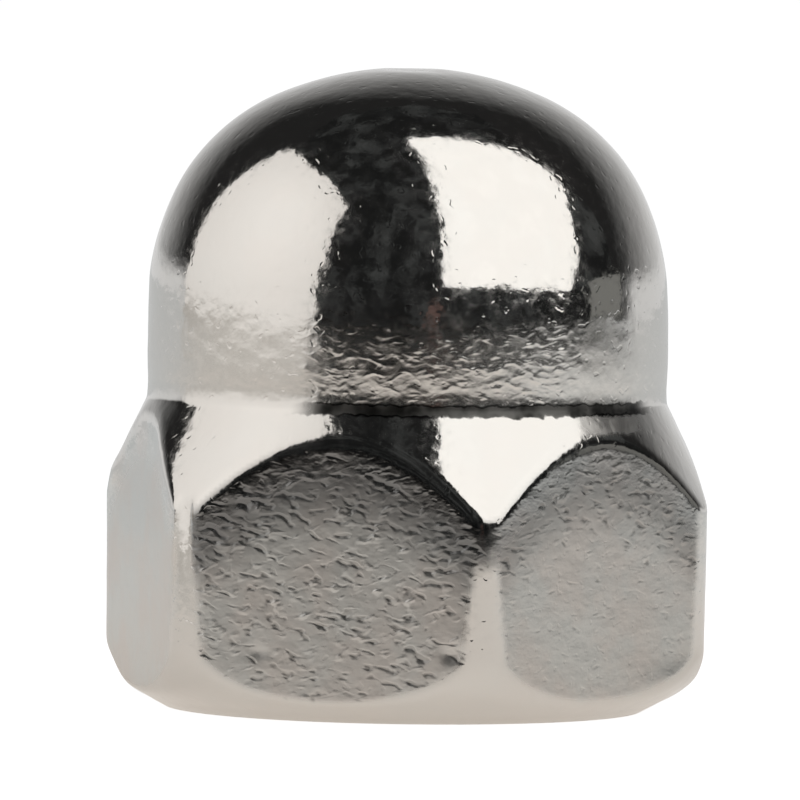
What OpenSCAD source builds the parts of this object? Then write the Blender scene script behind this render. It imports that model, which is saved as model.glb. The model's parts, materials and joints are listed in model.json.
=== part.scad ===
// Cap nut: a hexagon nut closed by a domed cap, formed from one blank of stainless steel.
// Millimetres, +Z up. The origin is at the centre of the bearing face, on the axis of the thread.
// The hexagon has corners on the X axis and flats square to the Y axis.

/* [Hexagon] */

// Across flats, the size the spanner takes
across_flats = 9.95; // [9.7:0.05:10.6]

// Height of the neck, where the dome rises out of the hexagon
neck_h = 5.58; // [5.1:0.02:6.2]

// Radius of the six vertical corners
corner_r = 0.81; // [0.4:0.01:1.1]

// Height of the cone between the hexagon's corners and the neck
shoulder_h = 1.81; // [1.3:0.01:2.4]

// Diameter of the flat bearing face
bearing_d = 8.65; // [8.2:0.05:9.3]

// Slope of the chamfer round the bearing face, up from the level
chamfer_a = 28; // [20:1:36]

// Radius of the rounding that runs from that chamfer up each corner
foot_r = 1.7; // [1.3:0.05:2.2]

/* [Dome] */

// Height of the whole nut
height = 11.6; // [11.3:0.05:12.4]

// Diameter of the dome at the neck
neck_d = 9.45; // [9.2:0.05:9.8]

// How far the side of the dome leans in before its curve begins
side_taper = 0.05; // [0.01:0.01:0.2]

// Radius of the outer, tighter curve of the dome
dome_r = 3.8; // [3.4:0.05:4.2]

// Radius of the crown of the dome
crown_r = 6; // [5.6:0.1:7]

// Diameter of the small flat on the pole of the dome
pole_d = 1.15; // [0.6:0.05:2]

// Radius of the fillet in the neck
neck_r = 0.25; // [0.1:0.05:0.8]

/* [Thread hole] */

// Diameter of the drilled hole, the size before the thread is cut
drill_d = 5; // [4.6:0.05:5.4]

// Depth of the hole to the end of its full diameter
drill_depth = 8; // [6:0.1:8.6]

// Angle of the drill point
point_a = 118; // [100:1:140]

// Width of the countersink round the hole at the bearing face
mouth_w = 0.8; // [0.4:0.05:1.2]

// Whole angle of the countersink
mouth_a = 120; // [90:1:130]

/* [Hidden] */

$fn = 180;
big = 40;

// Clearance by which the turned outline passes outside the corners
corner_gap = 0.03;

// Overlap that makes each arc cross the line or arc it runs into
lap = 0.002;

// Hexagon: half the distance across flats, the corner arcs and how far they reach
flat_r = across_flats / 2;
arc_r = (flat_r - corner_r) / cos(30);
arc_y = (flat_r - corner_r) * tan(30);
reach = arc_r + corner_r;
turned_r = reach + corner_gap;

// Foot: an arc tangent to the chamfer and to the turned radius
bearing_r = bearing_d / 2;
foot_x = turned_r - foot_r;
foot_z = (foot_r + (foot_x - bearing_r) * sin(chamfer_a)) / cos(chamfer_a);

// Shoulder cone, from the turned radius up to the neck
neck_x = neck_d / 2;
cone_z = neck_h - shoulder_h;
cone_a = atan2(shoulder_h, neck_x - turned_r);

// Dome: a crown arc on the axis and a tighter arc tangent to it
spring_x = neck_x - side_taper;
pole_r = pole_d / 2;
dome_x = spring_x - dome_r;
crown_z = height - sqrt(crown_r * crown_r - pole_r * pole_r);
spring_z = crown_z + sqrt(pow(crown_r - dome_r, 2) - dome_x * dome_x);
blend_a = atan2(spring_z - crown_z, dome_x);

// Neck fillet: tangent to the cone and to the side of the dome
side_a = atan2(spring_z - neck_h, spring_x - neck_x);
neck_t = neck_r * tan((cone_a - side_a) / 2);
neck_in = [neck_x - neck_t * cos(cone_a), neck_h - neck_t * sin(cone_a)];
neck_out = [neck_x + neck_t * cos(side_a), neck_h + neck_t * sin(side_a)];
neck_c = [neck_in[0] + neck_r * sin(cone_a), neck_in[1] - neck_r * cos(cone_a)];

// Thread hole
drill_r = drill_d / 2;
mouth_r = drill_r + mouth_w;
mouth_h = mouth_w / tan(mouth_a / 2);
point_h = drill_r / tan(point_a / 2);

// Half section of the blank through its axis, before the flats
module half_section() {
    // straight parts, with the neck cut out round its fillet
    difference() {
        polygon([
            [0, 0],
            [bearing_r, 0],
            [foot_x + foot_r * sin(chamfer_a), foot_z - foot_r * cos(chamfer_a)],
            [turned_r, foot_z],
            [turned_r, cone_z],
            neck_in,
            neck_out,
            [spring_x, spring_z],
            [0, spring_z],
        ]);
        translate(neck_c) circle(r = neck_r + lap);
    }
    // curves, kept inside the height and on one side of the axis
    intersection() {
        union() {
            // rounding over the foot
            translate([foot_x, foot_z]) circle(r = foot_r + lap);
            // tighter curve of the dome
            translate([dome_x, spring_z]) circle(r = dome_r + lap);
            // crown, above the line where it meets the tighter curve
            intersection() {
                translate([0, crown_z]) circle(r = crown_r);
                polygon([
                    [0, crown_z],
                    [big * cos(blend_a), crown_z + big * sin(blend_a)],
                    [0, crown_z + big * sin(blend_a)],
                ]);
            }
        }
        square([big, height]);
    }
}

// Hexagon with rounded corners
module hexagon() {
    polygon([
        for (i = [0:5]) each [
            [
                flat_r * cos(60 * i + 30) + arc_y * sin(60 * i + 30),
                flat_r * sin(60 * i + 30) - arc_y * cos(60 * i + 30),
            ],
            [
                flat_r * cos(60 * i + 30) - arc_y * sin(60 * i + 30),
                flat_r * sin(60 * i + 30) + arc_y * cos(60 * i + 30),
            ],
        ],
    ]);
    for (i = [0:5]) rotate(60 * i) translate([arc_r, 0]) circle(r = corner_r + lap);
}

// Half section of the blind hole: countersink, drilled wall and drill point
module hole_section() {
    polygon([
        [0, -1],
        [mouth_r + tan(mouth_a / 2), -1],
        [drill_r, mouth_h],
        [drill_r, drill_depth],
        [0, drill_depth + point_h],
    ]);
}

// The nut: the turned blank inside the hexagon, less the blind hole
module cap_nut() {
    color("silver") difference() {
        intersection() {
            rotate_extrude() half_section();
            linear_extrude(height) hexagon();
        }
        rotate_extrude() hole_section();
    }
}

cap_nut();
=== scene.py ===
"""A domed cap nut in stainless steel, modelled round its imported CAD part, and the studio it stands in."""

import json
from math import asin, atan2, cos, exp, pi, radians, sin, sqrt, tan, tau
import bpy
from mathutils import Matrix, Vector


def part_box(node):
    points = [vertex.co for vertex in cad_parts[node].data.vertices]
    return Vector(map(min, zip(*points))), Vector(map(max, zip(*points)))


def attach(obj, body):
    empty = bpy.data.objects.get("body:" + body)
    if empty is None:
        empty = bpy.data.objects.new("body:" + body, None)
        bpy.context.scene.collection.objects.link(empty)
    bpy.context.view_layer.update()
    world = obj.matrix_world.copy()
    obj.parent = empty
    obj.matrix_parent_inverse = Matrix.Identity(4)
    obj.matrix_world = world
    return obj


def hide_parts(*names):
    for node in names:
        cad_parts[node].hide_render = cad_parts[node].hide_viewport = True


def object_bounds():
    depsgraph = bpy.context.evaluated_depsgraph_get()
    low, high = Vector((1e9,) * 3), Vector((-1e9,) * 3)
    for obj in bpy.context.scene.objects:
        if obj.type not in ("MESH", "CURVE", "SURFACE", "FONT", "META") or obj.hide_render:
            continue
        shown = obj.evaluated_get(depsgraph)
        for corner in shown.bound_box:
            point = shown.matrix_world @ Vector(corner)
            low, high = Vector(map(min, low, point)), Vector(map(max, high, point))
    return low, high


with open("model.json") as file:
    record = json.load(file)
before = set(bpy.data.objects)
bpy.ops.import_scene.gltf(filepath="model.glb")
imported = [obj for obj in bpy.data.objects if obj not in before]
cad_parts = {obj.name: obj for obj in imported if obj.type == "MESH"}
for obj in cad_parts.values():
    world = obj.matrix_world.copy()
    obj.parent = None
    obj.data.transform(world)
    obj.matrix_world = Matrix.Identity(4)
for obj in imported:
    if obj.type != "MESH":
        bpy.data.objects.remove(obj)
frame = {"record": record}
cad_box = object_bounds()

from types import SimpleNamespace

import bmesh
import bpy
from bpy.props import FloatProperty, FloatVectorProperty, IntProperty, PointerProperty
from mathutils import Matrix, Vector, noise

bl_info = {
    "name": "Cap Nut",
    "version": (1, 0, 0),
    "blender": (4, 5, 0),
    "location": "3D View > Sidebar > Cap Nut",
    "description": "Models a domed cap nut in stainless steel and the small studio it stands in",
    "category": "Add Mesh",
}

MM = 0.001
NUT_NODE = "cap_nut"
NUT_LOW, NUT_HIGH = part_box(NUT_NODE)
THREAD = next(m for m in frame["record"]["mounts"] if m["name"] == "thread")

# Marks that the turned outline leaves on its points, before they are spun round
INSIDE, OUTSIDE = 0, 1

# How pitted each flat is, counted anticlockwise from the +X axis
PITTED = (0.4, 0.25, 0.5, 0.05, 1.0, 0.3)

# How far the top of each flat leans in, in millimetres, counted the same way
LEAN = (0.02, 0.0, 0.03, 0.15, 0.0, 0.0)

# How far each corner is worn back at its tip and the height where that wear starts, in millimetres, and how
# far the rough of the flats closes in on the tip, as a part of the half angle of the corner's rounding
TIP_WEAR = (
    (0.0, 2.9, 0.0), (0.04, 2.9, 0.0), (0.02, 2.9, 0.0), (0.0, 2.9, 0.0), (0.19, 1.2, 0.1), (0.07, 2.9, 0.0)
)

# Local swellings of the skin: place, reach and height in millimetres
SWELLS = (
    ((-5.5, 0.0, 4.30), (0.6, 1.1, 0.33), 0.075),
    ((5.2, 0.0, 0.62), (0.9, 1.6, 0.30), 0.040),
    ((-5.4, 0.0, 0.62), (0.7, 1.2, 0.26), -0.050),
    ((-5.0, 0.0, 0.20), (0.6, 1.2, 0.15), 0.040),
    ((2.22, -4.97, 1.32), (0.14, 0.50, 0.11), -0.050),
    ((-1.36, -4.97, 1.26), (0.16, 0.50, 0.09), -0.022),
    ((0.12, -0.43, 11.60), (0.55, 0.35, 0.30), -0.035),
)

# Radius of each upright corner at its top, in millimetres, counted as the tips are
CORNER_TOP_R = (0.81, 0.5, 0.5, 0.81, 0.45, 0.5)

# The corner whose top was battered as rough as the flats beside it, counted the same way
BATTERED = 5

# How far the turned outline passes outside the hexagon's corners
CORNER_GAP = 0.09 * MM

# Height of the foot that stays smooth, and the way that the bulged side of the dome faces
SMOOTH_FOOT = 0.12 * MM
BULGED_SIDE = (-0.966, -0.259, 0)

# Heights, and angles in radians off a corner, between which wear, lean and roughness set in
WEAR_TOP = 4.8 * MM
LEAN_HEIGHTS = (3.0 * MM, 5.6 * MM)
LEAN_ANGLES = (0.07, 0.45)
CLOSING_HEIGHTS = (2.4 * MM, 4.0 * MM)
BATTERED_HEIGHTS = (2.7 * MM, 3.1 * MM)

# The thread's tool: its steps in one turn, how far it reaches into the open hole, how far its base is wider
# than the cut, and how far the thread stays off the end of the drilled wall
TOOL_STEPS = 72
TOOL_OVERLAP = 0.35 * MM
TOOL_FLANK = 0.02 * MM
THREAD_GAP = 0.2 * MM

# Stretch of the noise that makes the marks, and how far its two sets of rods are turned off the level
NECK_RODS = (4.4, 4.4, 9.3)
FLAT_RODS = (4.2, 4.2, 8.4)
TURN = radians(16)
OTHER_TURN = radians(-12)

# Height that each fine pattern gives the skin where it is 1, in millimetres. Those below zero go in.
GRAIN = 0.0008
PEEL = 0.0048
CHIP = -0.0016
GRIT = 0.004
WRINKLE = 0.033
LUMP = 0.14
PIT = -0.24

# The ways that the neck's wrinkled side, the side where its crease takes dirt and painted shade, and the
# shoulder's scuffed patch face
WRINKLED_SIDE = (0.40, -0.92, 0)
SOILED_AND_SHADED_SIDE = (0.588, -0.809, 0)
SCUFFED_SIDE = (0.906, -0.423, 0)

# Sizes of the stage, in metres
FLOOR_R = 1.5
FLOOR_GAP = 0.01 * MM
ROOM_R = 1.6
SWEEP_R = 0.6
SWEEP_H = 1.0
SMALL_CARDS_AWAY = 0.3

# Glow of the floor as the steel sees it: in front of the nut, and to its left, its right and behind it
WHITE = (1, 1, 1, 1)
SHEEN_FRONT = (0.455, 0.418, 0.382, 1)
SHEEN_LEFT = (0.53, 0.51, 0.48, 1)
SHEEN_RIGHT = (0.56, 0.56, 0.55, 1)
SHEEN_BEHIND = (0.56, 0.57, 0.57, 1)

# Height of the middle of the nut, and how far to the left of it and below it the camera aims
MIDDLE_H = 5.78 * MM
AIM_LEFT = 0.1255 * MM
AIM_DOWN = 0.197 * MM


# ---------------------------------------------------------------- sizes


def length(name, text, default):
    """A size in millimetres, kept in metres."""
    return FloatProperty(name=name, description=text, default=default * MM, unit="LENGTH", precision=5)


def angle(name, text, default):
    """An angle given in degrees."""
    return FloatProperty(name=name, description=text, default=radians(default), subtype="ANGLE")


def shade(name, text, default):
    """A colour."""
    return FloatVectorProperty(name=name, description=text, default=default, subtype="COLOR", size=3)


class NutSizes(bpy.types.PropertyGroup):
    """Sizes of the nut itself."""

    height: FloatProperty(
        name="Height", description="Height of the whole nut", default=NUT_HIGH.z - NUT_LOW.z, unit="LENGTH"
    )
    across_flats: length("Across flats", "The size that a spanner takes", 9.95)
    corner_r: length("Corner radius", "Radius of the six upright corners, near the shoulder", 0.81)
    corner_worn_r: length("Worn corner radius", "Radius of the corners just above the foot", 0.98)
    neck_h: length("Neck height", "Height at which the dome rises out of the hexagon", 5.58)
    shoulder_h: length("Shoulder height", "Height of the cone between the corners and the neck", 1.81)
    bearing_d: length("Bearing diameter", "Diameter of the flat bearing face", 8.65)
    chamfer_a: angle("Chamfer", "Slope of the chamfer round the bearing face", 28)
    foot_r: length("Foot radius", "Radius of the rounding from the chamfer up the corners", 1.7)
    neck_d: length("Neck diameter", "Diameter of the dome at the neck", 9.45)
    side_taper: length("Side taper", "How far the side of the dome leans in", 0.05)
    dome_r: length("Dome radius", "Radius of the tighter curve of the dome", 3.8)
    crown_r: length("Crown radius", "Radius of the crown of the dome", 6.0)
    pole_d: length("Pole flat", "Diameter of the small flat on the pole of the dome", 1.15)
    neck_r: length("Neck fillet", "Radius of the fillet in the neck", 0.25)
    edge_r: length("Edge softness", "How far the rounding of the edges of the flats reaches", 0.09)


class ThreadSizes(bpy.types.PropertyGroup):
    """Sizes of the threaded hole."""

    drill_r: FloatProperty(
        name="Drill radius", description="Radius of the drilled hole", default=THREAD["dims"]["r_mm"] * MM,
        unit="LENGTH",
    )
    drill_depth: length("Depth", "Depth of the full drill diameter", 8.0)
    point_a: angle("Drill point", "Whole angle of the drill point", 118)
    mouth_w: length("Countersink width", "Width of the countersink round the hole", 0.8)
    mouth_a: angle("Countersink angle", "Whole angle of the countersink", 120)
    major_d: length("Thread diameter", "Major diameter of the thread", 6.0)
    pitch: length("Pitch", "Pitch of the thread", 1.0)
    run_out: FloatProperty(name="Run-out", description="Turns over which the thread fades out", default=0.8)


class MeshDetail(bpy.types.PropertyGroup):
    """How finely the nut is meshed and how uneven its skin is."""

    columns: IntProperty(name="Columns", description="Faces round the nut", default=432)
    row_h: length("Row height", "Height of one row of faces on the hexagon and neck", 0.082)
    dome_row_h: length("Dome row height", "Height of one row of faces on the dome", 0.11)
    wave: length("Waviness", "Depth of the broad waves left by forming", 0.004)
    dent: length("Dents", "Depth of the small dents", 0.0028)
    pucker: length("Pucker", "Depth of the wrinkles round the neck", 0.003)


class SteelFinish(bpy.types.PropertyGroup):
    """Colours and polish of the steel."""

    steel: shade("Steel", "Colour of bare steel", frame["record"]["materials"][0]["base_color"])
    warm: shade("Warm steel", "Steel with a faint warm stain", (0.72, 0.685, 0.65))
    cool: shade("Cool steel", "Steel with a faint cool cast", (0.69, 0.70, 0.68))
    # Painted shade: the dark colour under the upper edge of the pitted flats, where they are also worn rough
    painted_shade_top: shade("Dull steel", "Worn steel under the upper edge of a flat", (0.17, 0.173, 0.175))
    # Dirt and painted shade at the bottom of the pits, also spread faintly over the pitted flats
    dirt_and_shade: shade("Pit colour", "Colour at the bottom of a pit", (0.12, 0.115, 0.11))
    # Dirt and painted shade in the crease at the neck, on one side of it only
    soil_and_shade_dark: shade("Dark soil", "Darkest dirt in the crease at the neck", (0.03, 0.03, 0.028))
    soil_and_shade_pale: shade("Pale soil", "Palest dirt in the crease at the neck", (0.12, 0.118, 0.112))
    polish: FloatProperty(name="Dome roughness", description="Roughness of the polished dome", default=0.08)
    skin: FloatProperty(name="Flat roughness", description="Roughness of the flats", default=0.32)


class Studio(bpy.types.PropertyGroup):
    """Place and lens of the camera."""

    camera_turn: angle("Camera turn", "Turn of the camera round the nut", 15)
    camera_rise: angle("Camera rise", "Height of the camera over the level", 2.53)
    camera_away: length("Camera distance", "Distance from the camera to the middle of the nut", 211.7)
    camera_roll: angle("Camera roll", "How far the camera leans to one side", 0.83)
    focal: FloatProperty(name="Focal length", description="Focal length in millimetres", default=524.8)


# ---------------------------------------------------------------- outline and blank


def draw_line(bm, pen, end, step):
    """Extends the outline from pen to end in equal steps of about the given length."""
    start, end = pen.co.copy(), Vector(end)
    count = max(1, round((end - start).length / step))
    for i in range(count):
        pen = bmesh.ops.extrude_vert_indiv(bm, verts=[pen])["verts"][0]
        pen.co = start.lerp(end, (i + 1) / count)
    return pen


def draw_arc(bm, pen, centre, turn, step):
    """Extends the outline from pen round centre. A positive turn runs from +Z towards +X."""
    count = max(2, round(abs(turn) * (pen.co - Vector(centre)).length / step))
    made = bmesh.ops.spin(bm, geom=[pen], cent=centre, axis=(0, 1, 0), angle=turn, steps=count)
    return next(item for item in made["geom_last"] if isinstance(item, bmesh.types.BMVert))


def hexagon_sizes(size, corner_r):
    """Distance to a corner's centre and the half angle that its arc takes, for one corner radius."""
    centre = (size.across_flats / 2 - corner_r) / cos(pi / 6)
    return centre, atan2(corner_r * sin(pi / 6), centre + corner_r * cos(pi / 6))


def draw_outline(bm, size, hole, detail):
    """Draws the half section of the blank in the XZ plane, from the pole round to the drill point."""
    skin = bm.verts.layers.float.new("skin")
    row, dome_row = detail.row_h, detail.dome_row_h
    centre, _ = hexagon_sizes(size, size.corner_r)
    shoulder = Vector((centre + size.corner_r, 0, size.neck_h - size.shoulder_h))

    # dome: pole flat, crown arc and tighter arc, tangent to each other
    neck_x = size.neck_d / 2
    spring_x = neck_x - size.side_taper
    pole_r = size.pole_d / 2
    dome_x = spring_x - size.dome_r
    crown_z = size.height - sqrt(size.crown_r**2 - pole_r**2)
    spring_z = crown_z + sqrt((size.crown_r - size.dome_r) ** 2 - dome_x**2)
    blend_a = atan2(spring_z - crown_z, dome_x)
    pen = bm.verts.new((0, 0, size.height))
    pen = draw_line(bm, pen, (pole_r, 0, size.height), dome_row)
    pen = draw_arc(bm, pen, (0, 0, crown_z), pi / 2 - blend_a - asin(pole_r / size.crown_r), dome_row)
    pen = draw_arc(bm, pen, (dome_x, 0, spring_z), blend_a, dome_row)

    # side of the dome and the neck fillet, tangent to the side and the shoulder cone
    fall = shoulder - Vector((neck_x, 0, size.neck_h))
    cone_end = shoulder + fall * (CORNER_GAP / fall.x)
    turned_r = cone_end.x
    cone_a = atan2(-fall.z, -fall.x)
    side_a = atan2(spring_z - size.neck_h, spring_x - neck_x)
    reach = size.neck_r * tan((cone_a - side_a) / 2)
    neck_in = Vector((neck_x + reach * cos(side_a), 0, size.neck_h + reach * sin(side_a)))
    neck_c = neck_in + size.neck_r * Vector((sin(side_a), 0, -cos(side_a)))
    pen = draw_line(bm, pen, neck_in, row)
    pen = draw_arc(bm, pen, neck_c, side_a - cone_a, row * 0.5)
    pen = draw_line(bm, pen, cone_end, row)

    # corner, foot and chamfer down to the bearing face
    bearing_r = size.bearing_d / 2
    foot_x = turned_r - size.foot_r
    foot_z = (size.foot_r + (foot_x - bearing_r) * sin(size.chamfer_a)) / cos(size.chamfer_a)
    pen = draw_line(bm, pen, (turned_r, 0, foot_z), row)
    pen = draw_arc(bm, pen, (foot_x, 0, foot_z), pi / 2 - size.chamfer_a, row)
    pen = draw_line(bm, pen, (bearing_r, 0, 0), row)
    for vert in bm.verts:
        vert[skin] = OUTSIDE

    # bearing face, countersink, drilled wall and drill point
    mouth_r = hole.drill_r + hole.mouth_w
    pen = draw_line(bm, pen, (mouth_r, 0, 0), row * 2)
    pen = draw_line(bm, pen, (hole.drill_r, 0, hole.mouth_w / tan(hole.mouth_a / 2)), row * 3)
    pen = draw_line(bm, pen, (hole.drill_r, 0, hole.drill_depth), row * 20)
    tip_z = hole.drill_depth + hole.drill_r / tan(hole.point_a / 2)
    draw_line(bm, pen, (0, 0, tip_z), row * 6)


def spin_outline(bm, columns):
    """Turns the outline round the axis into a closed shell that points outwards."""
    outline = bm.verts[:] + bm.edges[:]
    bmesh.ops.spin(bm, geom=outline, cent=(0, 0, 0), axis=(0, 0, 1), angle=tau, steps=columns, use_merge=True)
    bmesh.ops.remove_doubles(bm, verts=bm.verts, dist=0.002 * MM)
    bmesh.ops.recalc_face_normals(bm, faces=bm.faces)


# ---------------------------------------------------------------- hexagon and skin


def smooth_step(low, high, value):
    """0 below low, 1 above high, and a smooth rise between them."""
    t = min(1, max(0, (value - low) / (high - low)))
    return t * t * (3 - 2 * t)


def soft_min(a, b, reach):
    """The smaller of two values, rounded over where they are within reach of each other."""
    near = max(reach - abs(a - b), 0) / reach
    return min(a, b) - near * near * reach / 4


def ripple(point, scale_mm, seed, stretch=1.0):
    """Smooth noise of about -1 to 1, with lumps of the given size in millimetres, flattened by stretch."""
    at = point / (scale_mm * MM)
    return noise.noise(Vector((at.x + seed, at.y, at.z * stretch)))


def bell(value, centre, width):
    """A smooth hump of height 1."""
    return exp(-(((value - centre) / width) ** 2))


def nearest_corner(turn):
    """Which corner lies nearest, counted anticlockwise from the +X axis."""
    return round(turn % tau / (pi / 3)) % 6


def nearest_flat(turn):
    """Which flat lies nearest, counted anticlockwise from the +X axis."""
    return int(turn % tau / (pi / 3)) % 6


def corner_aside(turn):
    """Angle from the nearest corner."""
    return abs((turn + pi / 6) % (pi / 3) - pi / 6)


def corner_radius(size, turn, height):
    """Radius of the nearest corner at one height, worn towards the foot."""
    top_r = CORNER_TOP_R[nearest_corner(turn)] * MM
    worn = 1 - smooth_step(0.8 * MM, 3.5 * MM, height)
    return top_r + worn * (size.corner_worn_r - top_r)


def hexagon_radius(size, turn, height):
    """Radius of the rounded hexagon at one angle, and how far off the nearest corner that angle is: 1 where
    the flat begins."""
    corner_r = corner_radius(size, turn, height)
    centre, half = hexagon_sizes(size, corner_r)
    aside = corner_aside(turn)
    if aside < half:
        return centre * cos(aside) + sqrt(corner_r**2 - (centre * sin(aside)) ** 2), aside / half
    return size.across_flats / 2 / cos(pi / 6 - aside), aside / half


def worn_in(turn, off, height):
    """How far wear and lean bring the hexagon in, and how far the rough of the flats closes on a corner."""
    worn, start, closing = TIP_WEAR[nearest_corner(turn)]
    tip = worn * smooth_step(start * MM, WEAR_TOP, height) * (1 - smooth_step(0.4, 1.3, off))
    lean = LEAN[nearest_flat(turn)] * smooth_step(*LEAN_HEIGHTS, height)
    lean *= smooth_step(*LEAN_ANGLES, corner_aside(turn))
    return (tip + lean) * MM, closing * smooth_step(*CLOSING_HEIGHTS, height)


def press_flats(bm, size):
    """Presses the six flats into the turned blank. Marks how far each point lies inside a flat, how far below
    its upper edge, in millimetres, and how pitted that flat is."""
    skin = bm.verts.layers.float["skin"]
    flat = bm.verts.layers.float.new("flat")
    drop = bm.verts.layers.float.new("drop")
    pitted = bm.verts.layers.float.new("pitted")
    turned_r = hexagon_sizes(size, size.corner_r)[0] + size.corner_r
    slope = (turned_r - size.neck_d / 2) / size.shoulder_h
    for vert in bm.verts:
        vert[drop] = -1
        radius = vert.co.xy.length
        if vert[skin] != OUTSIDE or radius < size.neck_d / 2 - size.side_taper:
            continue
        turn, height = atan2(vert.co.y, vert.co.x), vert.co.z
        across, off = hexagon_radius(size, turn, height)
        brought_in, closing = worn_in(turn, off, height)
        across -= brought_in
        cone = size.neck_d / 2 + (size.neck_h - height) * slope
        vert[drop] = max(-1, (cone - across) / slope / MM)
        vert[pitted] = PITTED[nearest_flat(turn)]
        reach = size.edge_r * (1 + 0.3 * ripple(vert.co, 1.1, 40)) * (0.4 + 0.6 * smooth_step(0.3, 1.2, off))
        inside = smooth_step(0.6, 1.1, off + closing)
        if nearest_corner(turn) == BATTERED:
            inside = max(inside, smooth_step(*BATTERED_HEIGHTS, height))
        vert[flat] = smooth_step(-0.2 * reach, 1.5 * reach, radius - across) * inside
        vert.co.xy *= soft_min(radius, across, reach) / radius


def swelling(point):
    """Height of the local swellings at one point."""
    total = 0
    for place, reach, rise in SWELLS:
        total += rise * MM * exp(-sum(((p / MM - c) / r) ** 2 for p, c, r in zip(point, place, reach)))
    return total


def barrel(up, bulged):
    """How far the side of the dome stands out at one height over the neck, in millimetres. Its widest place
    is higher on the bulged side."""
    side = smooth_step(-0.1, 0.4, up) * (1 - smooth_step(3.2, 4.6, up))
    undercut = 0.02 * (1 - smooth_step(0.1, 0.8, up))
    crest = 1.62 + 0.35 * bulged
    return (0.055 * bell(up, crest, 1.8 if up < crest else 0.9) - 0.02 - undercut) * side


def roughen(bm, size, detail):
    """Moves the skin along its normals: broad waves, small dents, local swellings, and above the neck a
    barrel shape and wrinkles."""
    skin = bm.verts.layers.float["skin"]
    bm.normal_update()
    for vert in bm.verts:
        if vert[skin] != OUTSIDE or vert.co.z < SMOOTH_FOOT:
            continue
        up = (vert.co.z - size.neck_h) / MM
        wrinkled = smooth_step(-0.1, 0.25, up) * (1 - smooth_step(1.0, 2.0, up))
        bulged = smooth_step(1.9 * MM, 4.0 * MM, vert.co.dot(Vector(BULGED_SIDE)))
        depth = (
            detail.wave * ripple(vert.co, 1.5, 3)
            + detail.dent * ripple(vert.co, 0.42, 17)
            + detail.pucker * wrinkled * ripple(vert.co, 0.45, 29, stretch=2.2)
            - 0.6 * (detail.wave + detail.dent)
        )
        vert.co += vert.normal * (depth + barrel(up, bulged) * MM + swelling(vert.co))
    low, high = cad_box
    for vert in bm.verts:
        vert.co = Vector(min(max(v, a), b) for v, a, b in zip(vert.co, low, high))


def thread_section(bm, hole):
    """Draws the thread tool's V-shaped section in the XZ plane, one pitch below the bearing face."""
    crest, root = hole.pitch * 0.75, hole.pitch / 8
    inner, outer = hole.drill_r - TOOL_OVERLAP, hole.major_d / 2
    corners = [
        (inner, -crest / 2 - TOOL_FLANK),
        (hole.drill_r, -crest / 2),
        (outer, -root / 2),
        (outer, root / 2),
        (hole.drill_r, crest / 2),
        (inner, crest / 2 + TOOL_FLANK),
    ]
    return bm.faces.new([bm.verts.new((x, 0, z - hole.pitch)) for x, z in corners])


def thread_tool(hole):
    """A solid helix that cuts the thread, deepest over the full turns and faded at its end."""
    bm = bmesh.new()
    turns = int((hole.drill_depth - THREAD_GAP) / hole.pitch) + 1
    section = thread_section(bm, hole)
    bmesh.ops.spin(
        bm, geom=[section], cent=(0, 0, 0), axis=(0, 0, 1), dvec=(0, 0, hole.pitch / TOOL_STEPS),
        angle=tau * turns, steps=TOOL_STEPS * turns,
    )
    inner = hole.drill_r - TOOL_OVERLAP
    end = hole.pitch * (turns - 1)
    for vert in bm.verts:
        radius = vert.co.xy.length
        if radius > hole.drill_r - 0.01 * MM:
            left = 1 - smooth_step(end - hole.run_out * hole.pitch, end - 0.02 * MM, vert.co.z)
            vert.co.xy *= (inner + (radius - inner) * (0.3 + 0.7 * left)) / radius
    bmesh.ops.remove_doubles(bm, verts=bm.verts, dist=0.0005 * MM)
    bmesh.ops.recalc_face_normals(bm, faces=bm.faces)
    for face in bm.faces:
        face.smooth = True
    mesh = bpy.data.meshes.new("thread_tool")
    bm.to_mesh(mesh)
    bm.free()
    mesh.materials.append(cut_steel())
    tool = bpy.data.objects.new("thread_tool", mesh)
    bpy.context.scene.collection.objects.link(tool)
    return tool


def cut_thread(nut, hole):
    """Cuts the internal thread into the nut's mesh."""
    tool = thread_tool(hole)
    cutter = nut.modifiers.new("thread", "BOOLEAN")
    cutter.operation, cutter.solver, cutter.object = "DIFFERENCE", "MANIFOLD", tool
    cutter.material_mode = "TRANSFER"
    bpy.context.view_layer.update()
    evaluated = nut.evaluated_get(bpy.context.evaluated_depsgraph_get())
    cut = bpy.data.meshes.new_from_object(evaluated)
    nut.modifiers.remove(cutter)
    blank = nut.data
    nut.data = cut
    bpy.data.meshes.remove(blank)
    tool_mesh = tool.data
    bpy.data.objects.remove(tool)
    bpy.data.meshes.remove(tool_mesh)


# ---------------------------------------------------------------- materials


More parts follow.
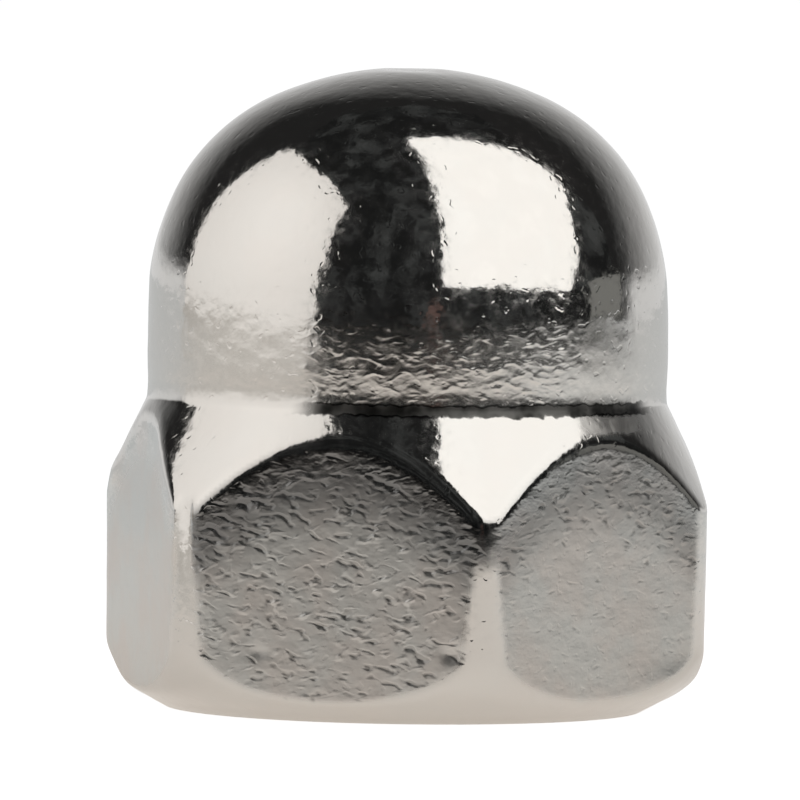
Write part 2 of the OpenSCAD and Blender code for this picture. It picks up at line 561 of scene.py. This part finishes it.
class Nodes:
    """Adds nodes to one node tree and joins them."""

    def __init__(self, tree):
        self.tree = tree
        tree.nodes.clear()

    def add(self, kind, values=None, **settings):
        """A new node, with values or sockets for its inputs."""
        node = self.tree.nodes.new("ShaderNode" + kind)
        for name, value in settings.items():
            setattr(node, name, value)
        for name, value in (values or {}).items():
            self.feed(node.inputs[name], value)
        count = len(self.tree.nodes)
        node.location = (count % 12 * 190, -(count // 12) * 260)
        return node

    def feed(self, socket, value):
        if isinstance(value, bpy.types.NodeSocket):
            self.tree.links.new(value, socket)
        else:
            socket.default_value = value

    def math(self, operation, a, b=0.0, c=0.0):
        return self.add("Math", {0: a, 1: b, 2: c}, operation=operation).outputs[0]

    def scaled(self, value, factor, base):
        """The value times a factor, added to a base."""
        return self.math("MULTIPLY_ADD", value, factor, base)

    def product(self, value, *others):
        for other in others:
            value = self.math("MULTIPLY", value, other)
        return value

    def vector(self, operation, a, b=(0, 0, 0), c=(0, 0, 0)):
        return self.add("VectorMath", {0: a, 1: b, 2: c}, operation=operation).outputs["Vector"]

    def measure(self, operation, a, b=(0, 0, 0)):
        """A number from vectors: their DOT_PRODUCT or DISTANCE, or the first one's LENGTH."""
        return self.add("VectorMath", {0: a, 1: b}, operation=operation).outputs["Value"]

    def step(self, value, low, high, out_low=0.0, out_high=1.0):
        values = {"Value": value, "From Min": low, "From Max": high, "To Min": out_low, "To Max": out_high}
        return self.add("MapRange", values, interpolation_type="SMOOTHSTEP").outputs["Result"]

    def slope(self, value, low, high, out_low=0.0, out_high=1.0):
        values = {"Value": value, "From Min": low, "From Max": high, "To Min": out_low, "To Max": out_high}
        return self.add("MapRange", values).outputs["Result"]

    def stretch(self, vector, scale):
        return self.add("Mapping", {"Vector": vector, "Scale": scale}).outputs["Vector"]

    def turned(self, vector, turn):
        return self.add("Mapping", {"Vector": vector, "Rotation": (0, turn, 0)}).outputs["Vector"]

    def noise(self, vector, scale, detail=2.0, rough=0.5):
        values = {"Vector": vector, "Scale": scale, "Detail": detail, "Roughness": rough}
        return self.add("TexNoise", values).outputs["Fac"]

    def mix_value(self, factor, a, b):
        return self.add("Mix", {"Factor": factor, "A": a, "B": b}, data_type="FLOAT").outputs[0]

    def mix(self, factor, a, b):
        """A mix of two colours."""
        node = self.add("Mix", data_type="RGBA")
        self.feed(node.inputs["Factor"], factor)
        self.feed(node.inputs[6], a)
        self.feed(node.inputs[7], b)
        return node.outputs[2]

    def bump(self, height):
        """A normal from heights in millimetres."""
        return self.add("Bump", {"Strength": 1.0, "Distance": MM, "Height": height}).outputs["Normal"]

    def metal(self, tone, rough, normal):
        """Ends a material as bare metal."""
        values = {"Base Color": tone, "Metallic": 1.0, "Roughness": rough, "Normal": normal}
        self.add("OutputMaterial", {"Surface": self.add("BsdfPrincipled", values).outputs[0]})

    def glow(self, tint, strength):
        """Ends a material as a glow."""
        light = self.add("Emission", {"Color": tint, "Strength": strength})
        self.add("OutputMaterial", {"Surface": light.outputs[0]})


def new_material(name):
    """A new material and the maker of its nodes."""
    material = bpy.data.materials.new(name)
    material.use_nodes = True
    return material, Nodes(material.node_tree)


def colour(rgb):
    return (*rgb, 1.0)


def place_in_mm(nodes):
    """The nut's own coordinates, in millimetres."""
    return nodes.stretch(nodes.add("TexCoord").outputs["Object"], (1 / MM,) * 3)


def rods(nodes, place, turn, scale, seed):
    """Noise of short rods, all turned off the level by about the same angle."""
    shifted = nodes.vector("ADD", place, (seed, seed, seed))
    return nodes.noise(nodes.stretch(nodes.turned(shifted, turn), scale), 1.0, 0.5)


def peaks(nodes, value, low):
    """Soft lumps: the square of what rises over low."""
    over = nodes.math("MAXIMUM", nodes.math("SUBTRACT", value, low), 0.0)
    return nodes.product(over, over)


def skin_sockets(nodes):
    """What the patterns of the skin share: places and heights in millimetres, and the marks of pressing."""
    place = place_in_mm(nodes)
    wander = nodes.add("TexNoise", {"Vector": place, "Scale": 2.2, "Detail": 1.0}).outputs["Color"]
    return SimpleNamespace(
        place=place,
        bent=nodes.vector("MULTIPLY_ADD", wander, (0.1, 0.1, 0.18), place),
        height=nodes.add("SeparateXYZ", {"Vector": place}).outputs["Z"],
        flat=nodes.add("Attribute", attribute_name="flat").outputs["Fac"],
        drop=nodes.add("Attribute", attribute_name="drop").outputs["Fac"],
        pitted=nodes.add("Attribute", attribute_name="pitted").outputs["Fac"],
        neck=bpy.context.scene.nut_sizes.neck_h / MM,
    )


def neck_band(nodes, skin):
    """1 round the foot of the dome, where it is wrinkled."""
    start = nodes.step(skin.height, skin.neck + 0.02, skin.neck + 0.2)
    return nodes.product(start, nodes.step(skin.height, skin.neck + 1.9, skin.neck + 1.0))


def neck_wrinkles(nodes, skin, band):
    """Nearly level ridges round the neck, deepest on its wrinkled side."""
    side = nodes.measure("DOT_PRODUCT", skin.place, WRINKLED_SIDE)
    facing = nodes.step(side, 3.85, 4.35, 0.10, 1.0)
    ridges = peaks(nodes, rods(nodes, skin.bent, TURN, NECK_RODS, 0.0), 0.38)
    others = peaks(nodes, rods(nodes, skin.bent, OTHER_TURN, NECK_RODS, 7.3), 0.38)
    upward = nodes.step(skin.height, skin.neck + 0.15, skin.neck + 1.0, 0.5, 0.9)
    return nodes.product(nodes.math("ADD", ridges, others), band, facing, upward)


def flat_marks(nodes, skin):
    """Lumps and pits of the flats, crowded under the upper edge."""
    crowd = nodes.product(nodes.step(skin.drop, 2.1, 0.9), nodes.step(skin.drop, 0.1, 0.7))
    worn_top = nodes.product(crowd, nodes.step(skin.pitted, 0.1, 0.3, 0.0, 0.62))
    marked = nodes.product(skin.pitted, nodes.step(skin.drop, 4.6, 2.6, 0.68, 1.0))
    marked = nodes.mix_value(worn_top, marked, 0.9)
    marked = nodes.product(marked, skin.flat, nodes.step(skin.drop, 0.0, 0.9, 0.1, 1.0))
    low = nodes.scaled(crowd, -0.095, nodes.scaled(skin.pitted, -0.05, 0.555))
    low = nodes.scaled(nodes.noise(skin.place, 1.3, 1.0), 0.12, low)
    lump = peaks(nodes, rods(nodes, skin.bent, TURN, FLAT_RODS, 3.1), low)
    pit = peaks(nodes, rods(nodes, skin.bent, OTHER_TURN, FLAT_RODS, 9.6), low)
    return nodes.product(lump, marked), nodes.product(pit, marked)


def skin_normal(nodes, skin, wrinkle, lump, pit):
    """The normal of the skin. It adds small even lumps, finer grain and a few small chips all over."""
    peel = nodes.noise(skin.place, 3.9, 1.5)
    grain = nodes.noise(skin.place, 11.0, 2.0, 0.6)
    chip = nodes.step(nodes.noise(skin.place, 6.5, 0.5), 0.66, 0.76)
    grit = nodes.math("SUBTRACT", nodes.noise(nodes.stretch(skin.place, (4, 4, 6.5)), 1.0), 0.5)
    height = nodes.product(grain, GRAIN)
    height = nodes.scaled(peel, PEEL, height)
    height = nodes.scaled(chip, CHIP, height)
    height = nodes.scaled(wrinkle, WRINKLE, height)
    height = nodes.scaled(lump, LUMP, height)
    height = nodes.scaled(pit, PIT, height)
    return nodes.bump(nodes.scaled(nodes.product(grit, skin.flat), GRIT, height))


def skin_tone(nodes, skin, finish, patches, pit):
    """Colour of the steel: warm and cool patches, dirt and painted shade in the pits, and painted shade under
    the upper edge of the pitted flats.
    """
    tone = nodes.mix(nodes.step(patches, 0.35, 0.65), colour(finish.cool), colour(finish.warm))
    tone = nodes.mix(nodes.scaled(skin.flat, 0.7, 0.15), colour(finish.steel), tone)
    # dirt and painted shade in the pits, and faintly over each flat by how pitted it is
    tone = nodes.mix(nodes.product(nodes.step(pit, 0.002, 0.022), 0.42), tone, colour(finish.dirt_and_shade))
    tone = nodes.mix(nodes.product(skin.flat, skin.pitted, 0.16), tone, colour(finish.dirt_and_shade))
    # painted shade under the upper edge of the pitted flats, stronger the more pitted they are
    painted_shade_top = nodes.product(nodes.scaled(skin.pitted, 0.38, 0.44), nodes.step(skin.pitted, 0.1, 0.3))
    painted_shade_top = nodes.product(painted_shade_top, skin.flat, nodes.step(skin.drop, 2.0, 0.7))
    return nodes.mix(painted_shade_top, tone, colour(finish.painted_shade_top))


def neck_crease(nodes, skin):
    """Two masks of the crease at the foot of the dome: where it takes dirt and painted shade, and where it is
    unpolished too.
    """
    side = nodes.measure("DOT_PRODUCT", skin.place, SOILED_AND_SHADED_SIDE)
    facing = nodes.step(side, 3.2, 3.7)
    ragged = nodes.scaled(nodes.noise(skin.place, 5.0), 0.16, skin.height)
    off = nodes.math("ABSOLUTE", nodes.math("SUBTRACT", ragged, skin.neck + 0.10))
    soiled_and_shaded = nodes.product(nodes.step(off, 0.13, 0.09), facing)
    return soiled_and_shaded, nodes.product(nodes.step(off, 0.10, 0.06), facing)


def scuffed_cone(nodes, skin):
    """1 on a small scuffed patch of the shoulder, just under the neck."""
    outward = nodes.vector("NORMALIZE", nodes.stretch(skin.place, (1, 1, 0)))
    side = nodes.measure("DOT_PRODUCT", outward, SCUFFED_SIDE)
    start = nodes.step(skin.height, skin.neck - 0.50, skin.neck - 0.35)
    end = nodes.step(skin.height, skin.neck, skin.neck - 0.15)
    return nodes.product(start, end, nodes.step(side, 0.975, 0.992))


def skin_roughness(nodes, skin, finish, patches, band, unpolished):
    """Roughness: a hazy polish on the dome, the shoulder and the corners, and matt flats."""
    haze = nodes.noise(skin.place, 5.5, 2.0, 0.6)
    haze = nodes.step(haze, 0.42, 0.72, finish.polish - 0.01, finish.polish + 0.06)
    haze = nodes.scaled(scuffed_cone(nodes, skin), 0.22, haze)
    haze = nodes.scaled(band, 0.09, haze)
    matt = nodes.product(skin.flat, nodes.step(skin.drop, 0.0, 1.0))
    rough = nodes.mix_value(matt, haze, nodes.scaled(patches, 0.1, finish.skin - 0.05))
    return nodes.mix_value(unpolished, rough, 0.38)


def formed_steel():
    """Material of the formed skin: polished dome, wrinkled neck, rough and pitted flats."""
    finish = bpy.context.scene.steel_finish
    material, nodes = new_material("formed_steel")
    skin = skin_sockets(nodes)
    band = neck_band(nodes, skin)
    lump, pit = flat_marks(nodes, skin)
    normal = skin_normal(nodes, skin, neck_wrinkles(nodes, skin, band), lump, pit)
    patches = nodes.noise(skin.place, 0.8, 3.0, 0.6)
    tone = skin_tone(nodes, skin, finish, patches, pit)
    # dirt and painted shade in the crease at the foot of the dome, on one side only
    soiled_and_shaded, unpolished = neck_crease(nodes, skin)
    clumps = nodes.step(nodes.noise(skin.place, 2.4), 0.35, 0.65)
    soil_and_shade = nodes.mix(clumps, colour(finish.soil_and_shade_dark), colour(finish.soil_and_shade_pale))
    tone = nodes.mix(soiled_and_shaded, tone, soil_and_shade)
    nodes.metal(tone, skin_roughness(nodes, skin, finish, patches, band, unpolished), normal)
    return material


def cut_steel():
    """Material of the machined surfaces: the bearing face, the countersink and the thread."""
    finish = bpy.context.scene.steel_finish
    made = bpy.data.materials.get("cut_steel")
    if made:
        return made
    material, nodes = new_material("cut_steel")
    place = place_in_mm(nodes)
    radius = nodes.measure("LENGTH", nodes.vector("MULTIPLY", place, (1, 1, 0)))
    rings = nodes.noise(nodes.add("CombineXYZ", {"X": radius}).outputs[0], 14.0, 2.0, 0.6)
    smear = nodes.noise(place, 2.0, 3.0, 0.6)
    normal = nodes.bump(nodes.scaled(rings, 0.006, nodes.product(smear, 0.004)))
    tone = nodes.mix(smear, colour(finish.steel), colour(finish.warm))
    nodes.metal(tone, nodes.step(smear, 0.2, 0.8, 0.16, 0.3), normal)
    return material


# ---------------------------------------------------------------- stage


def view_direction(turn, rise, studio):
    """Unit vector from the nut. Turn 0 is towards the camera and positive turns run to its right."""
    turn += studio.camera_turn
    return Vector((sin(turn) * cos(rise), -cos(turn) * cos(rise), sin(rise)))


def seen_from_camera(studio, x, y, z):
    """A place or direction as the camera sees it: x to its right, y away from it and z up."""
    return Matrix.Rotation(studio.camera_turn, 4, "Z") @ Vector((x, y, z))


def stage_piece(name, bm, material, in_view=False):
    """Makes a mesh of the stage from a bmesh."""
    mesh = bpy.data.meshes.new(name)
    bm.to_mesh(mesh)
    bm.free()
    mesh.materials.append(material)
    piece = bpy.data.objects.new(name, mesh)
    bpy.context.scene.collection.objects.link(piece)
    piece.visible_camera = in_view


def paper_floor(studio):
    """Material of the floor. The steel sees white paper that ends a little in front of the nut and runs on
    under the left card. The camera sees white all over, but for a painted shadow close round the nut's foot.
    From below the floor is clear."""
    material, nodes = new_material("paper_floor")
    place = nodes.add("TexCoord").outputs["Object"]
    path = nodes.add("LightPath")
    camera_ray = path.outputs["Is Camera Ray"]

    def towards(turn):
        """How far a point of the floor lies in one direction from the nut."""
        return nodes.measure("DOT_PRODUCT", place, view_direction(radians(turn), 0, studio))

    # where the paper lies, and the light painted on it, fainter far off to the right
    front_end = nodes.step(towards(-5.7), 0.062, 0.052)
    left_run = nodes.step(towards(-133), -0.008, 0.008)
    paper = nodes.math("MAXIMUM", front_end, left_run)
    right_fall = nodes.step(towards(90), 0.20, 0.11, 0.35, 1.0)
    lit = nodes.math("MAXIMUM", right_fall, nodes.step(towards(180), 0.0, 0.1))
    paper = nodes.math("MAXIMUM", nodes.product(paper, lit), 0.02)
    cover = nodes.math("MAXIMUM", paper, camera_ray)

    # its own colour, and the glow that the camera and the steel see, with a painted shadow close round the
    # nut that only the camera sees
    far = nodes.measure("LENGTH", place)
    grey = nodes.product(cover, nodes.step(far, 0.09, 0.02, 0.1, 0.55))
    grey = nodes.add("CombineColor", {"Red": grey, "Green": grey, "Blue": grey}).outputs[0]
    sheen = nodes.mix(nodes.step(towards(-90), 0.02, 0.08), SHEEN_FRONT, SHEEN_LEFT)
    sheen = nodes.mix(nodes.step(towards(90), 0.01, 0.06), sheen, SHEEN_RIGHT)
    sheen = nodes.mix(nodes.step(towards(180), 0.0, 0.06), sheen, SHEEN_BEHIND)
    # painted shadow: the camera sees the floor's glow a little darker within about 5.5 to 8.5 mm of the nut's
    # axis
    level = nodes.mix_value(camera_ray, 1.0, nodes.step(far, 0.0085, 0.0055, 1.0, 0.85))
    seen = nodes.math("MAXIMUM", camera_ray, path.outputs["Is Glossy Ray"])
    bright = {"Color": nodes.mix(camera_ray, sheen, WHITE), "Strength": nodes.product(seen, cover, level)}
    top = nodes.add("AddShader", {0: nodes.add("BsdfDiffuse", {"Color": grey}).outputs[0],
                                  1: nodes.add("Emission", bright).outputs[0]})
    below = nodes.add("NewGeometry").outputs["Backfacing"]
    clear = nodes.add("BsdfTransparent")
    surface = nodes.add("MixShader", {0: below, 1: top.outputs[0], 2: clear.outputs[0]})
    nodes.add("OutputMaterial", {"Surface": surface.outputs[0]})
    return material


def lay_floor(studio):
    """The floor, a hair below the nut."""
    bm = bmesh.new()
    bmesh.ops.create_circle(bm, cap_ends=True, segments=96, radius=FLOOR_R)
    bmesh.ops.translate(bm, vec=(0, 0, -FLOOR_GAP), verts=bm.verts)
    stage_piece("floor", bm, paper_floor(studio), in_view=True)


def close_room():
    """Dark, uneven surroundings."""
    material, nodes = new_material("dark_room")
    clutter = nodes.noise(nodes.add("TexCoord").outputs["Object"], 4.0, 2.0, 0.6)
    nodes.glow((0.95, 1.0, 1.0, 1), nodes.step(clutter, 0.45, 0.70, 0.012, 0.06))
    bm = bmesh.new()
    bmesh.ops.create_icosphere(bm, subdivisions=4, radius=ROOM_R)
    stage_piece("dark_room", bm, material)


def sweep_glow(studio):
    """Material of the rear sweep: brightest straight behind the nut, and pale along its foot."""
    material, nodes = new_material("rear_sweep")
    place = nodes.add("TexCoord").outputs["Object"]
    height = nodes.add("SeparateXYZ", {"Vector": place}).outputs["Z"]
    outward = nodes.vector("NORMALIZE", nodes.stretch(place, (1, 1, 1.7)))
    ahead = nodes.measure("DOT_PRODUCT", outward, view_direction(radians(174), 0, studio))
    glow = nodes.math("POWER", nodes.slope(ahead, 0.42, 1.0), 1.45)
    behind = nodes.measure("DOT_PRODUCT", outward, view_direction(radians(180), 0, studio))
    foot = nodes.product(nodes.step(height, 0.11, 0.02), nodes.step(behind, 0.30, 0.55, 0.0, 0.72))
    nodes.glow(WHITE, nodes.math("MAXIMUM", nodes.scaled(glow, 0.72, 0.018), foot))
    return material


def stand_sweep(studio):
    """A curved wall behind the nut."""
    bm = bmesh.new()
    low = bm.verts.new(view_direction(radians(105), 0, studio) * SWEEP_R)
    edge = bmesh.ops.extrude_vert_indiv(bm, verts=[low])
    edge["verts"][0].co.z = SWEEP_H
    geom = [low, *edge["verts"], *edge["edges"]]
    bmesh.ops.spin(bm, geom=geom, cent=(0, 0, 0), axis=(0, 0, 1), angle=radians(138), steps=46)
    stage_piece("rear_sweep", bm, sweep_glow(studio))


def softbox(name, corner, across, up, strength, tint):
    """A rectangular area lamp with its low left corner at corner, and its sides along across and up."""
    lamp = bpy.data.lights.new(name, "AREA")
    lamp.shape = "RECTANGLE"
    lamp.size, lamp.size_y = across.length, up.length
    lamp.energy = strength * pi * across.length * up.length
    lamp.color = tint
    holder = bpy.data.objects.new(name, lamp)
    bpy.context.scene.collection.objects.link(holder)
    centre = corner + across / 2 + up / 2
    x, y = across.normalized(), up.normalized()
    z = x.cross(y)
    if z.dot(centre) < 0:
        x, z = -x, -z
    turn = Matrix((x, y, z)).transposed().to_4x4()
    holder.matrix_world = Matrix.Translation(centre) @ turn
    holder.visible_camera = False


def glow_card(name, corners, strength, tint):
    """A four-sided card that glows a little more in its middle."""
    material, nodes = new_material(name)
    place = nodes.add("TexCoord").outputs["Object"]
    away = nodes.measure("DISTANCE", place, sum(corners, Vector()) / len(corners))
    nodes.glow(colour(tint), nodes.slope(away, 0.13, 0.02, strength * 0.86, strength * 1.08))
    bm = bmesh.new()
    bmesh.ops.contextual_create(bm, geom=[bm.verts.new(corner) for corner in corners])
    stage_piece(name, bm, material)


def small_card(name, studio, turn, rise, wide, tall, tint):
    """A small plain card, placed and sized by its angles in degrees as the nut sees it."""
    material, nodes = new_material(name)
    nodes.glow(colour(tint), 1.0)
    bm = bmesh.new()
    bmesh.ops.create_grid(bm, x_segments=1, y_segments=1, size=SMALL_CARDS_AWAY / 2)
    bmesh.ops.scale(bm, vec=(2 * tan(radians(wide) / 2), 2 * tan(radians(tall) / 2), 1), verts=bm.verts)
    direction = view_direction(radians(turn), radians(rise), studio)
    facing = direction.to_track_quat("Z", "Y").to_matrix().to_4x4()
    place = Matrix.Translation(direction * SMALL_CARDS_AWAY) @ facing
    bmesh.ops.transform(bm, matrix=place, verts=bm.verts)
    stage_piece(name, bm, material)


def set_lights(studio):
    """The lights, and the small things in the studio that the dome and neck pick up."""

    def at(x, y, z):
        return seen_from_camera(studio, x, y, z)

    left_foot = [at(-0.120, -0.133, 0.003), at(-0.120, 0.060, 0.006)]
    left_top = [at(-0.0946, 0.035, 0.148), at(-0.0946, -0.133, 0.1564)]
    left_base = [at(-0.120, -0.133, 0.0), at(-0.120, 0.060, 0.0)]
    glow_card("left_card", left_foot + left_top, 1.0, (1, 0.97, 0.94))
    glow_card("left_card_foot", left_base + left_foot[::-1], 0.54, (1, 0.96, 0.9))
    across = at(0.970, 0.2437, 0.0212) * 0.264
    up = at(-0.146, 0.507, 0.849) * 0.280
    softbox("right_softbox", at(0.0384, -0.1336, 0.0275), across, up, 1.25, (1, 0.985, 0.96))
    small_card("brown_case", studio, 11.5, 3.9, 5.5, 3.8, (0.13, 0.085, 0.075))
    small_card("grey_case", studio, 98.0, 5.8, 22.0, 7.6, (0.21, 0.21, 0.20))


def light_world(scene):
    """A world that is white to the camera, in gloss and through glass, and gives no other light."""
    world = bpy.data.worlds.new("studio")
    scene.world = world
    world.use_nodes = True
    nodes = Nodes(world.node_tree)
    path = nodes.add("LightPath")
    seen = nodes.math("MAXIMUM", path.outputs["Is Camera Ray"], path.outputs["Is Glossy Ray"])
    seen = nodes.math("MAXIMUM", seen, path.outputs["Is Transmission Ray"])
    back = nodes.add("Background", {"Color": WHITE, "Strength": seen})
    nodes.add("OutputWorld", {"Surface": back.outputs[0]})


def place_camera(scene, studio):
    """The camera, a little above the level, aimed close to the middle of the nut."""
    data = bpy.data.cameras.new("camera")
    data.lens, data.sensor_width = studio.focal, 36
    data.clip_start, data.clip_end = 0.01, 10
    camera = bpy.data.objects.new("camera", data)
    scene.collection.objects.link(camera)
    middle = Vector((0, 0, MIDDLE_H))
    back = view_direction(0, studio.camera_rise, studio)
    right = Vector((cos(studio.camera_turn), sin(studio.camera_turn), 0))
    eye = middle + back * studio.camera_away
    aim = middle - right * AIM_LEFT - back.cross(right) * AIM_DOWN
    z = (eye - aim).normalized()
    x = Vector((0, 0, 1)).cross(z).normalized()
    turn = Matrix((x, z.cross(x), z)).transposed().to_4x4()
    camera.matrix_world = Matrix.Translation(eye) @ turn @ Matrix.Rotation(studio.camera_roll, 4, "Z")
    scene.camera = camera


# ---------------------------------------------------------------- operators


class CAPNUT_OT_model(bpy.types.Operator):
    """Model the cap nut: turned blank, pressed flats, uneven skin and cut thread"""

    bl_idname = "capnut.model"
    bl_label = "Model Nut"

    def execute(self, context):
        scene = context.scene
        size, hole, detail = scene.nut_sizes, scene.thread_sizes, scene.mesh_detail
        bm = bmesh.new()
        draw_outline(bm, size, hole, detail)
        spin_outline(bm, detail.columns)
        press_flats(bm, size)
        roughen(bm, size, detail)
        skin = bm.verts.layers.float["skin"]
        for face in bm.faces:
            face.smooth = True
            if any(vert[skin] == INSIDE for vert in face.verts):
                face.material_index = 1
        mesh = bpy.data.meshes.new("cap_nut_steel")
        bm.to_mesh(mesh)
        bm.free()
        mesh.materials.append(formed_steel())
        mesh.materials.append(cut_steel())
        nut = bpy.data.objects.new("cap_nut_steel", mesh)
        scene.collection.objects.link(nut)
        cut_thread(nut, hole)
        if not nut.data.polygons:
            raise RuntimeError("the thread cut left no faces")
        nut.data.set_sharp_from_angle(angle=radians(32))
        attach(nut, "root")
        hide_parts(NUT_NODE)
        return {"FINISHED"}


class CAPNUT_OT_stage(bpy.types.Operator):
    """Set the stage: pale floor, softboxes, dark surroundings, world and camera"""

    bl_idname = "capnut.stage"
    bl_label = "Set Stage"

    def execute(self, context):
        scene = context.scene
        studio = scene.studio
        scene.view_settings.view_transform = "Standard"
        lay_floor(studio)
        close_room()
        stand_sweep(studio)
        set_lights(studio)
        light_world(scene)
        place_camera(scene, studio)
        return {"FINISHED"}


class CAPNUT_PT_panel(bpy.types.Panel):
    """Sizes and operators of the cap nut"""

    bl_idname = "CAPNUT_PT_panel"
    bl_label = "Cap Nut"
    bl_space_type = "VIEW_3D"
    bl_region_type = "UI"
    bl_category = "Cap Nut"

    def draw(self, context):
        for group in PROPERTIES:
            box = self.layout.box()
            settings = getattr(context.scene, group)
            for name in settings.__annotations__:
                box.prop(settings, name)
        self.layout.operator(CAPNUT_OT_model.bl_idname)
        self.layout.operator(CAPNUT_OT_stage.bl_idname)


PROPERTIES = {
    "nut_sizes": NutSizes,
    "thread_sizes": ThreadSizes,
    "mesh_detail": MeshDetail,
    "steel_finish": SteelFinish,
    "studio": Studio,
}
CLASSES = (*PROPERTIES.values(), CAPNUT_OT_model, CAPNUT_OT_stage, CAPNUT_PT_panel)


def register():
    for cls in CLASSES:
        bpy.utils.register_class(cls)
    for name, group in PROPERTIES.items():
        setattr(bpy.types.Scene, name, PointerProperty(type=group))


def unregister():
    for name in PROPERTIES:
        delattr(bpy.types.Scene, name)
    for cls in reversed(CLASSES):
        bpy.utils.unregister_class(cls)


def main():
    register()
    bpy.ops.capnut.model()
    bpy.ops.capnut.stage()


if __name__ == "__main__":
    main()
